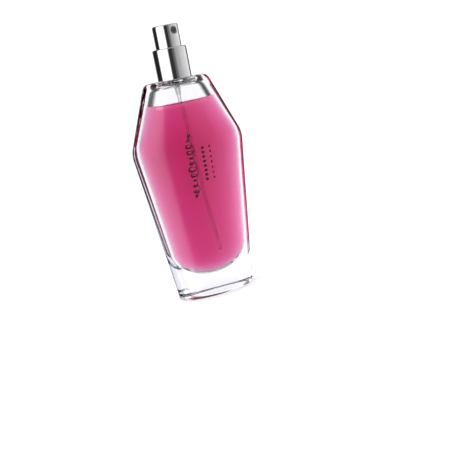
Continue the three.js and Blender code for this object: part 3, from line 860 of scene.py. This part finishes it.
@dataclass
class SprayHead:
    """The spray head: metal shell, moulded core and nozzle insert."""

    radius: float = 6.4 * MM
    wall: float = 0.4 * MM
    rounding: float = 0.9 * MM
    dish: float = 0.35 * MM
    spray_drop: float = 3.1 * MM
    window: float = 1.95 * MM
    nozzle: float = 1.75 * MM
    nozzle_length: float = 2.55 * MM
    nozzle_floor: float = 0.9 * MM
    cup: float = 1.0 * MM
    mouth: float = 0.79 * MM
    mouth_depth: float = 0.45 * MM
    orifice: float = 0.22 * MM
    edge: float = 0.06 * MM
    turn_deg: float = 22.5
    low: float = field(init=False)
    top: float = field(init=False)
    spray_height: float = field(init=False)

    def __post_init__(self) -> None:
        """Take the head's heights from the frame."""
        low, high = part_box("actuator_shell")
        self.low, self.top = low.z, high.z
        self.spray_height = high.z - self.spray_drop

    def wall_grid(self) -> tuple[np.ndarray, int]:
        """Work out the outside of the shell from its lower edge to the middle of its top.

        The wall is straight up to the rounding, in equal rows beside the window; the top is the dish
        z = top - dish * (1 - s^2), where s runs from 1 at the rim to 0 in the middle.

        Returns:
            The profile, and the row at the lower edge of the block round the window.
        """
        reach = self.top - self.rounding - self.spray_height
        below = np.linspace(self.low, self.spray_height - reach, BELOW_ROWS, endpoint=False)
        beside = np.linspace(self.spray_height - reach, self.spray_height + reach, WINDOW_ROWS + 1)
        wall = np.stack([np.full(len(below) + len(beside), self.radius),
                         np.concatenate([below, beside])], axis=1)
        rim = self.radius - self.rounding
        corners = np.array([(self.radius, self.spray_height), (self.radius, self.top), (0.0, self.top)])
        corner = soften(corners, [0.0, self.rounding, 0.0], steps=10)[2:-1]
        share = np.linspace(1.0, 0.0, 14)[1:]
        crown = np.stack([rim * share, self.top - self.dish * (1 - share**2)], axis=1)
        return np.concatenate([wall, corner, crown]), len(below)

    def window_edge(self, first: int) -> tuple[np.ndarray, np.ndarray]:
        """List the edge of the block of cells that the window takes, once round from its lower left.

        Args:
            first: The row at the block's lower edge.

        Returns:
            The column, counted from the window's middle, and the row of each vertex.
        """
        half = WINDOW_COLUMNS // 2
        across = np.arange(-half, half)
        up = np.arange(WINDOW_ROWS)
        column = np.concatenate([across, np.full(WINDOW_ROWS, half), -across, np.full(WINDOW_ROWS, -half)])
        row = np.concatenate([np.zeros(WINDOW_COLUMNS, int), up, np.full(WINDOW_COLUMNS, WINDOW_ROWS),
                              WINDOW_ROWS - up])
        return column, row + first

    def window_patch(self, edge_angle: np.ndarray, edge_height: np.ndarray, middle: float) -> np.ndarray:
        """Work out the rows between the round window and the block's edge.

        Each vertex of the edge, at angle p round the window's axis, joins the window's rim point
        (r cos p, r sin p) by straight rows, laid out in the plane of angle and height and wrapped on
        the wall.

        Args:
            edge_angle: Angle of each edge vertex round the head, from the window's middle.
            edge_height: Height of each edge vertex.
            middle: Angle of the window's middle round the head.

        Returns:
            Points of shape (PATCH_ROWS, edge vertices, 3), from the rim outwards.
        """
        p = np.arctan2(edge_height - self.spray_height, self.radius * edge_angle)
        rim_angle = np.arcsin(self.window * np.cos(p) / self.radius)
        rim_height = self.spray_height + self.window * np.sin(p)
        share = np.linspace(0.0, 1.0, PATCH_ROWS + 1)[:-1, None]
        angle = rim_angle + (edge_angle - rim_angle) * share + middle
        height = rim_height + (edge_height - rim_height) * share
        return np.stack([self.radius * np.cos(angle), self.radius * np.sin(angle), height], axis=2)

    def build_shell(self, finish: PolishedMetal) -> bpy.types.Object:
        """Make the metal shell with its dished top and round window.

        The wall's grid loses a block of cells round the window, and the window's patch fills it.

        Args:
            finish: The metal.

        Returns:
            The piece, riding on the spray head's body.
        """
        profile, first = self.wall_grid()
        rings = round_rings(profile, FINE_SIDES)
        rows = len(profile) - 1
        step = 2 * np.pi / FINE_SIDES
        aim = math.radians(self.turn_deg) - np.pi / 2
        middle = round((aim % (2 * np.pi)) / step)
        quads = ring_faces(rows, FINE_SIDES, False)
        cell_row = quads[:, 0] // FINE_SIDES
        cell_column = (quads[:, 0] % FINE_SIDES - middle + WINDOW_COLUMNS // 2) % FINE_SIDES
        in_rows = (cell_row >= first) & (cell_row < first + WINDOW_ROWS)
        quads = quads[~(in_rows & (cell_column < WINDOW_COLUMNS))]
        column, row = self.window_edge(first)
        edge = row * FINE_SIDES + (column + middle) % FINE_SIDES
        patch = self.window_patch(column * step, profile[row, 1], middle * step)
        start = rows * FINE_SIDES
        points = np.concatenate([rings[:rows].reshape(-1, 3), patch.reshape(-1, 3), rings[-1, :1]])
        patch_loops = start + np.arange(PATCH_ROWS * len(edge)).reshape(PATCH_ROWS, -1)
        loops = np.concatenate([patch_loops, edge[None]])
        near, far = loops[:-1], loops[1:]
        patch_quads = np.stack([far, np.roll(far, -1, axis=1), np.roll(near, -1, axis=1), near], axis=2)
        top = (rows - 1) * FINE_SIDES
        j = np.arange(FINE_SIDES)
        fan = np.stack([np.full(FINE_SIDES, len(points) - 1), top + j, top + (j + 1) % FINE_SIDES], axis=1)
        faces = quads.tolist() + patch_quads.reshape(-1, 4).tolist() + fan.tolist()
        piece = new_piece("head_shell", points, faces)
        wall = piece.modifiers.new("wall", "SOLIDIFY")
        wall.thickness = self.wall
        wall.offset = -1.0
        wall.use_even_offset = True
        edges = piece.modifiers.new("edges", "BEVEL")
        edges.width = self.edge
        edges.segments = 2
        edges.limit_method = "ANGLE"
        edges.angle_limit = math.radians(50.0)
        return finished(piece, material_of(finish), Body.HEAD, "bright_metal", "actuator_shell")

    def build_nozzle(self, finish: MouldedPlastic) -> bpy.types.Object:
        """Make the orifice cup that looks out of the window.

        A section is turned about the spray axis: radius r and distance d from the head's axis give
        the point d along the spray direction, r cos u across it and r sin u above it.

        Args:
            finish: The plastic.

        Returns:
            The piece, riding on the spray head's body.
        """
        front = self.radius - self.wall
        back = front - self.nozzle_length
        floor = front - self.nozzle_floor
        corners = np.array([
            (self.cup, back), (self.nozzle, back), (self.nozzle, front), (self.mouth, front),
            (self.orifice, front - self.mouth_depth), (self.orifice, floor), (self.cup, floor),
        ])
        cuts = [c * MM for c in (0.05, 0.1, 0.18, 0.12, 0.05, 0.0, 0.0)]
        section = soften(corners, cuts, closed=True)
        u = np.linspace(0.0, 2 * np.pi, SMALL_SIDES, endpoint=False)
        aim = math.radians(self.turn_deg) - np.pi / 2
        along = np.array([math.cos(aim), math.sin(aim), 0.0])
        across = np.array([-math.sin(aim), math.cos(aim), 0.0])
        upwards = np.array([0.0, 0.0, 1.0])
        r, d = section[:, 0, None, None], section[:, 1, None, None]
        spoke = np.cos(u)[None, :, None] * across + np.sin(u)[None, :, None] * upwards
        rings = d * along + r * spoke + np.array([0.0, 0.0, self.spray_height])
        piece = shell_piece("nozzle_cup", rings)
        return finished(piece, material_of(finish), Body.HEAD, "black_plastic", "nozzle_insert")


@dataclass
class PumpBody:
    """The moulded housing whose tail holds the tube under the glass deck."""

    tail_end: float = 103.71 * MM
    tail: float = 1.75 * MM
    tail_tip: float = 1.3 * MM
    socket: float = 1.0 * MM
    socket_top: float = 108.06 * MM
    floor: float = 111.48 * MM
    chamber: float = 3.0 * MM
    outer: float = 3.9 * MM
    flange: float = 6.9 * MM
    flange_bottom: float = 119.10 * MM
    flange_top: float = 119.80 * MM
    rim: float = 122.10 * MM
    cage: float = 1.1 * MM
    inlet: float = 0.5 * MM
    outlet: float = 0.7 * MM
    web: float = 0.4 * MM
    seat_rise: float = 0.6 * MM

    def build(self, finish: MouldedPlastic) -> bpy.types.Object:
        """Make the housing.

        Args:
            finish: The plastic.

        Returns:
            The piece, riding on the bottle's body.
        """
        seat = self.socket_top + self.web
        cone = seat + self.seat_rise
        under = self.floor - self.web
        corners = [
            (self.socket, self.tail_end), (self.tail_tip, self.tail_end), (self.tail, cone),
            (self.tail, under - self.web), (self.outer - self.web, under),
            (self.outer, self.floor), (self.outer, self.flange_bottom), (self.flange, self.flange_bottom),
            (self.flange, self.flange_top), (self.outer, self.flange_top), (self.outer, self.rim),
            (self.chamber, self.rim), (self.chamber, self.floor), (self.outlet, self.floor),
            (self.outlet, under), (self.cage, under), (self.cage, cone),
            (self.inlet, seat), (self.inlet, self.socket_top), (self.socket, self.socket_top),
        ]
        cuts = [0.1, 0.15, 0.2, 0.5, 0.4, 0.4, 0.1, 0.1, 0.1, 0.1,
                0.15, 0.1, 0.2, 0.0, 0.0, 0.1, 0.1, 0.0, 0.0, 0.1]
        piece = turned_shell("pump_body", corners, [c * MM for c in cuts], SMALL_SIDES)
        return finished(piece, material_of(finish), Body.BOTTLE, "natural_plastic", "pump_housing")


@dataclass
class CoilSpring:
    """A wire spring between two heights, with its end turns drawn together."""

    name: str
    node: str
    body: Body
    joint: str
    turns: float
    anchor: float
    travel: float
    wire: float
    steps: int = 30

    def rings(self) -> np.ndarray:
        """Work out the wire.

        Its middle is (R cos a, R sin a, z), where a is the angle wound and z rises from the lower end
        to the upper as t - 0.6 sin(2 pi t) / (2 pi). The section w cos v along the spoke and w sin v
        along the cross product of tangent and spoke makes the wire's round.

        Returns:
            Points of shape (rows, columns, 3).
        """
        low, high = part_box(self.node)
        radius = high.x - self.wire
        t = np.linspace(0.0, 1.0, round(self.turns * self.steps) + 1)
        angle = 2 * np.pi * self.turns * t
        rise = t - 0.6 * np.sin(2 * np.pi * t) / (2 * np.pi)
        z = low.z + self.wire + (high.z - low.z - 2 * self.wire) * rise
        spoke = np.stack([np.cos(angle), np.sin(angle), np.zeros_like(t)], axis=1)
        middle = radius * spoke
        middle[:, 2] = z
        tangent = np.gradient(middle, axis=0)
        tangent /= np.linalg.norm(tangent, axis=1, keepdims=True)
        side = np.cross(tangent, spoke)
        v = np.linspace(0.0, 2 * np.pi, WIRE_SIDES, endpoint=False)[None, :, None]
        return middle[:, None] + self.wire * (np.cos(v) * spoke[:, None] + np.sin(v) * side[:, None])

    def build(self, finish: SatinMetal) -> bpy.types.Object:
        """Make the spring.

        Args:
            finish: The wire's metal.

        Returns:
            The piece, riding on its body.
        """
        rings = self.rings()
        rows, sides, _ = rings.shape
        piece = new_piece(self.name, rings.reshape(-1, 3), capped_faces(rows, sides, 0), 60.0)
        finished(piece, material_of(finish), self.body, "spring_steel", self.node)
        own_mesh(piece)
        return piece


@dataclass
class Collar:
    """The bright sleeve round the neck."""

    radius: float = 8.5 * MM
    wall: float = 0.35 * MM
    rounding: float = 0.9 * MM
    mouth: float = 6.7 * MM

    def build(self, finish: PolishedMetal) -> bpy.types.Object:
        """Make the sleeve.

        Args:
            finish: The metal.

        Returns:
            The piece, riding on the bottle's body.
        """
        low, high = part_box("collar_sleeve")
        inner = self.radius - self.wall
        corners = np.array([
            (inner, low.z), (self.radius, low.z), (self.radius, high.z), (self.mouth, high.z),
            (self.mouth, high.z - self.wall), (inner, high.z - self.wall),
        ])
        cuts = [0.05 * MM, 0.12 * MM, self.rounding, 0.14 * MM, 0.1 * MM, self.rounding - self.wall]
        profile = soften(corners, cuts, closed=True, steps=10)
        closed = subdivided(np.concatenate([profile, profile[:1]]), 1.2 * MM)[:-1]
        piece = shell_piece("collar", round_rings(closed))
        return finished(piece, material_of(finish), Body.BOTTLE, "bright_metal", "collar_sleeve")


@dataclass
class FrontPrint:
    """Ink on the front of the glass: a looped flourish, a row of diamonds and a row of dashes."""

    glass: GlassBody
    film: float = 0.02 * MM
    middle: float = -5.0 * MM
    low: float = 55.5 * MM
    high: float = 83.5 * MM
    loop: float = 1.6 * MM
    loops: int = 10
    leaf: float = 2.4 * MM
    diamond_x: float = 1.2 * MM
    dash_x: float = 5.0 * MM
    row_low: float = 61.8 * MM
    row_high: float = 77.6 * MM
    diamonds: int = 8
    dashes: int = 7

    def stroke(self, path: np.ndarray, half_width: np.ndarray) -> np.ndarray:
        """Lay one pen stroke on the glass.

        The section at each point of the path is a flat ellipse, w cos u across the path and
        film sin u off the glass, and the whole is then moved on to the glass's front.

        Args:
            path: Points (x, z) of the stroke's middle.
            half_width: Half the stroke's width at each point.

        Returns:
            Points of shape (path points, columns, 3).
        """
        tangent = np.gradient(path, axis=0)
        tangent /= np.linalg.norm(tangent, axis=1, keepdims=True)
        u = np.linspace(0.0, 2 * np.pi, PEN_SIDES, endpoint=False)
        width = half_width[:, None] * np.cos(u)
        x = path[:, 0, None] - tangent[:, 1, None] * width
        z = path[:, 1, None] + tangent[:, 0, None] * width
        y = self.glass.skin_depth(x, z) - self.film * np.sin(u)
        return np.stack([x, y, z], axis=2)

    def flourish(self) -> list[np.ndarray]:
        """Draw the flourish.

        Its line rolls up the glass: x = middle + a cos p and z = height + 0.8 a sin p, where p runs
        through the loops and a swells and shrinks along it; the pen is widest on the way up. Each end
        has a leaf, as wide as sin(pi t) along it.

        Returns:
            One grid for each stroke.
        """
        t = np.linspace(0.0, 1.0, 30 * self.loops)
        p = 2 * np.pi * self.loops * t
        a = self.loop * (1.0 + 0.45 * np.sin(2 * np.pi * 2.6 * t + 0.8)) * np.sin(np.pi * t) ** 0.25
        z = self.low + (self.high - self.low) * t
        path = np.stack([self.middle + a * np.cos(p), z + 0.8 * a * np.sin(p)], axis=1)
        pen = (0.15 + 0.30 * (0.5 + 0.5 * np.cos(p + 2.4)) ** 1.5) * MM
        strokes = [self.stroke(path, pen)]
        t = np.linspace(0.0, 1.0, 16)
        for end, side in ((self.low, -1.0), (self.high, 1.0)):
            for lean in (0.5, 1.1):
                bend = side * lean * (1 - 0.6 * t)
                x = self.middle + np.cumsum(np.sin(bend)) * self.leaf / 16
                path = np.stack([x, end + side * np.cumsum(np.cos(bend)) * self.leaf / 16], axis=1)
                strokes.append(self.stroke(path, (0.03 + 0.36 * np.sin(np.pi * t**0.8)) * MM))
        return strokes

    def rows(self) -> list[np.ndarray]:
        """Draw the row of diamonds, w (1 - |2t - 1|) wide, and the row of dashes, w sqrt(1 - (2t - 1)^2).

        Returns:
            One grid for each mark.
        """
        t = np.linspace(0.0, 1.0, 13)
        peak = 1 - np.abs(2 * t - 1)
        round_ = np.sqrt(1 - (2 * t - 1) ** 2)
        strokes = []
        for x, count, length, width, shape in (
            (self.diamond_x, self.diamonds, 1.75 * MM, 1.05 * MM, peak),
            (self.dash_x, self.dashes, 1.25 * MM, 0.42 * MM, round_),
        ):
            for middle in np.linspace(self.row_low, self.row_high, count):
                path = np.stack([np.full(13, x), middle + (t - 0.5) * length], axis=1)
                strokes.append(self.stroke(path, 0.01 * MM + width * shape))
        return strokes

    def build(self, finish: ScreenInk) -> bpy.types.Object:
        """Make all the ink as one piece.

        Args:
            finish: The ink.

        Returns:
            The piece, riding on the bottle's body.
        """
        points, faces, start = [], [], 0
        for rings in self.flourish() + self.rows():
            rows, sides, _ = rings.shape
            points.append(rings.reshape(-1, 3))
            faces += capped_faces(rows, sides, start)
            start += rows * sides
        piece = new_piece("front_print", np.concatenate(points), faces, 60.0)
        return finished(piece, material_of(finish), Body.BOTTLE, None)


@dataclass(frozen=True)
class SoftBox:
    """A soft light: its angle from the camera's direction, its rise, size, distance and power in watts."""

    name: str
    relative_deg: float
    rise_deg: float
    size: tuple[float, float]
    distance: float
    power: float


@dataclass
class Studio:
    """A pale seamless cove, soft lights and the camera."""

    azimuth_deg: float = -18.0
    distance: float = 0.350
    height: float = 0.1199
    pitch_deg: float = 13.9
    yaw_deg: float = 1.77
    roll_deg: float = 10.8
    lens: float = 54.9
    bottle_middle: float = 0.08
    softboxes: tuple[SoftBox, ...] = (
        SoftBox("left_softbox", -56.0, 12.0, (0.55, 1.1), 0.9, 6.0),
        SoftBox("right_softbox", 92.0, 10.0, (0.6, 1.1), 1.2, 2.5),
        SoftBox("top_softbox", 180.0, 70.0, (1.2, 1.2), 1.4, 4.2),
    )
    cove_radius: float = 2.4
    tent_radius: float = 1.5
    mirror_light: float = 1.5
    mirror_strips: tuple[tuple[float, float], ...] = (
        (-180.0, 0.30), (-150.0, 0.25), (-143.0, 0.01), (-94.0, 0.015), (-84.0, 0.9), (-80.0, 1.0),
        (-20.0, 1.0), (-15.0, 0.75), (-8.0, 0.03), (10.0, 0.02), (22.0, 0.09), (45.0, 0.30),
        (90.0, 0.48), (122.0, 0.60), (134.0, 0.55), (141.0, 0.02), (165.0, 0.03), (180.0, 0.30),
    )
    lens_light: float = 1.12
    lens_strips: tuple[tuple[float, float], ...] = (
        (-180.0, 1.0), (-156.0, 1.0), (-134.0, 0.06), (-100.0, 0.03), (-84.0, 0.4), (-60.0, 1.2),
        (60.0, 1.2), (84.0, 0.4), (100.0, 0.03), (134.0, 0.06), (156.0, 1.0), (180.0, 1.0),
    )

    def direction(self, relative_deg: float, rise_deg: float = 0.0) -> Vector:
        """Return the direction that lies some degrees to the right of the camera's, seen from the bottle."""
        azimuth = math.radians(self.azimuth_deg + relative_deg)
        rise = math.radians(rise_deg)
        flat = Vector((math.sin(azimuth), -math.cos(azimuth), 0.0))
        return flat * math.cos(rise) + Vector((0.0, 0.0, math.sin(rise)))

    def build_camera(self) -> bpy.types.Object:
        """Make the camera.

        Returns:
            The camera, made the scene's own.
        """
        data = bpy.data.cameras.new("camera")
        data.lens = self.lens
        data.sensor_width = 36.0
        data.clip_start = 0.01
        camera = bpy.data.objects.new("camera", data)
        bpy.context.scene.collection.objects.link(camera)
        place = self.direction(0.0) * self.distance + Vector((0.0, 0.0, self.height))
        turn = Matrix.Rotation(math.radians(self.azimuth_deg - self.yaw_deg), 4, "Z")
        tilt = Matrix.Rotation(math.radians(90.0 - self.pitch_deg), 4, "X")
        roll = Matrix.Rotation(math.radians(-self.roll_deg), 4, "Z")
        camera.matrix_world = Matrix.Translation(place) @ turn @ tilt @ roll
        bpy.context.scene.camera = camera
        return camera

    def build_cove(self) -> bpy.types.Object:
        """Make the floor, which curves up into a wall all round.

        Returns:
            The cove.
        """
        r = self.cove_radius
        corners = np.array([(0.0, 0.0), (r, 0.0), (r, 2.4)])
        profile = subdivided(soften(corners, [0.0, 0.8, 0.0], steps=24), 0.2)
        rings = round_rings(profile, 96)
        middle = rings[1:]
        rows, sides, _ = middle.shape
        points = np.concatenate([middle.reshape(-1, 3), rings[0, :1]])
        j = np.arange(sides)
        fan = np.stack([np.full(sides, rows * sides), j, (j + 1) % sides], axis=1)
        quads = ring_faces(rows, sides, False)[:, ::-1]
        cove = new_piece("cove", points, quads.tolist() + fan.tolist(), 80.0)
        nodes = Nodes("cove_paper")
        nodes.set(Base_Color=(0.9, 0.9, 0.9, 1.0), Roughness=0.9, Emission_Color=(1.0, 1.0, 1.0, 1.0),
                  Emission_Strength=0.3)
        cove.data.materials.append(nodes.material)
        cove.visible_glossy = False
        return cove

    def build_tent(self, name: str, strips: tuple[tuple[float, float], ...],
                   light: float) -> bpy.types.Object:
        """Make a tent of light and dark strips round the bottle, which the camera doesn't see.

        The tent's own +X looks at the camera, and its light is a ramp over the angle round it.

        Args:
            name: The tent's name.
            strips: Degrees to the right of the camera's direction, and the share of the light there.
            light: What a share of 1 sends out.

        Returns:
            The tent, hidden from every kind of ray until its user shows it to one.
        """
        profile = np.array([(self.tent_radius, z) for z in np.linspace(-1.0, 1.6, 9)])
        rings = round_rings(profile, 96)
        rows, sides, _ = rings.shape
        tent = new_piece(name, rings.reshape(-1, 3), ring_faces(rows, sides, False)[:, ::-1].tolist(), 80.0)
        tent.rotation_euler.z = math.radians(self.azimuth_deg - 90.0)
        nodes = Nodes(name + "_strips")
        angle = nodes.tree.nodes.new("ShaderNodeTexGradient")
        angle.gradient_type = "RADIAL"
        nodes.link(nodes.place, angle.inputs["Vector"])
        ramp = nodes.tree.nodes.new("ShaderNodeValToRGB")
        ramp.color_ramp.interpolation = "EASE"
        stops = ramp.color_ramp.elements
        for degrees, level in strips:
            place = degrees / 360.0 + 0.5
            stop = stops[0] if place == 0.0 else stops[-1] if place == 1.0 else stops.new(place)
            stop.color = (level, level, level, 1.0)
        nodes.link(angle.outputs["Fac"], ramp.inputs["Fac"])
        nodes.link(ramp.outputs["Color"], nodes.shader.inputs["Emission Color"])
        nodes.set(Base_Color=(0.0, 0.0, 0.0, 1.0), Specular_IOR_Level=0.0, Emission_Strength=light)
        tent.data.materials.append(nodes.material)
        for kind in ("camera", "diffuse", "glossy", "transmission", "shadow", "volume_scatter"):
            setattr(tent, "visible_" + kind, False)
        return tent

    def build_light(self, box: SoftBox) -> bpy.types.Object:
        """Make a soft light that faces the bottle, and doesn't show in polished surfaces.

        Args:
            box: The light's place, size and power.

        Returns:
            The light.
        """
        data = bpy.data.lights.new(box.name, "AREA")
        data.shape = "RECTANGLE"
        data.size, data.size_y = box.size
        data.energy = box.power
        light = bpy.data.objects.new(box.name, data)
        light.visible_glossy = False
        bpy.context.scene.collection.objects.link(light)
        towards = self.direction(box.relative_deg, box.rise_deg)
        turn = (-towards).to_track_quat("-Z", "Y").to_matrix().to_4x4()
        middle = Vector((0.0, 0.0, self.bottle_middle))
        light.matrix_world = Matrix.Translation(middle + towards * box.distance) @ turn
        return light

    def build(self) -> None:
        """Make the whole studio and set how light is traced."""
        self.build_camera()
        self.build_cove()
        for box in self.softboxes:
            self.build_light(box)
        self.build_tent("mirror_tent", self.mirror_strips, self.mirror_light).visible_glossy = True
        self.build_tent("lens_tent", self.lens_strips, self.lens_light).visible_transmission = True
        world = bpy.data.worlds.new("studio")
        world.use_nodes = True
        world.node_tree.nodes["Background"].inputs["Color"].default_value = (0.9, 0.9, 0.92, 1.0)
        world.node_tree.nodes["Background"].inputs["Strength"].default_value = 0.5
        scene = bpy.context.scene
        scene.world = world
        scene.view_settings.view_transform = "Standard"
        scene.cycles.use_denoising = True
        scene.cycles.max_bounces = 32
        scene.cycles.transmission_bounces = 32
        scene.cycles.transparent_max_bounces = 16
        scene.cycles.glossy_bounces = 8


def main() -> None:
    """Build the bottle and its studio."""
    logging.basicConfig(level=logging.INFO, format="%(name)s: %(message)s", stream=sys.stdout)
    white = MouldedPlastic("white_plastic", (0.86, 0.86, 0.85))
    natural = MouldedPlastic("natural_plastic", (1.0, 0.99, 0.995), roughness=0.04, clear=0.95, index=1.43,
                             rim=0.6)
    black = MouldedPlastic("black_plastic", (0.045, 0.047, 0.05), roughness=0.3)
    bright = PolishedMetal()
    glass = GlassBody()
    tube = DipTube()
    fragrance = Fragrance(glass, tube)
    glass.build(ClearGlass(), fragrance.level)
    tube.build(natural)
    fragrance.build(DyedLiquid())
    PumpBody().build(natural)
    Collar().build(bright)
    head = SprayHead()
    head.build_shell(bright)
    head.build_nozzle(black)
    steel = SatinMetal("spring_steel", (0.62, 0.63, 0.64), roughness=0.25)
    CoilSpring("return_spring", "main_spring", Body.BOTTLE, "spray_stroke",
               turns=4.5, anchor=111.53 * MM, travel=4.0 * MM, wire=0.2 * MM).build(steel)
    CoilSpring("seat_spring", "preload_spring", Body.PLUNGER, "piston_lift",
               turns=3.0, anchor=121.0 * MM, travel=0.6 * MM, wire=0.14 * MM).build(steel)
    FrontPrint(glass).build(ScreenInk())
    materials = {
        "natural_plastic": material_of(natural),
        "white_plastic": material_of(white),
        "bright_metal": material_of(bright),
        "ferrule_metal": material_of(SatinMetal("ferrule_metal", (0.78, 0.79, 0.8))),
        "ball_steel": material_of(SatinMetal("ball_steel", (0.75, 0.76, 0.77), roughness=0.15)),
        "seal_rubber": material_of(SealRubber()),
        "black_plastic": material_of(black),
    }
    slots = {part["node"]: part["material_slot"] for part in frame["record"]["subparts"]}
    for name, node in frame["nodes"].items():
        if slots[name] in materials and not node.hide_render:
            node.data.materials.clear()
            node.data.materials.append(materials[slots[name]])
    Studio().build()


if __name__ == "__main__":
    main()
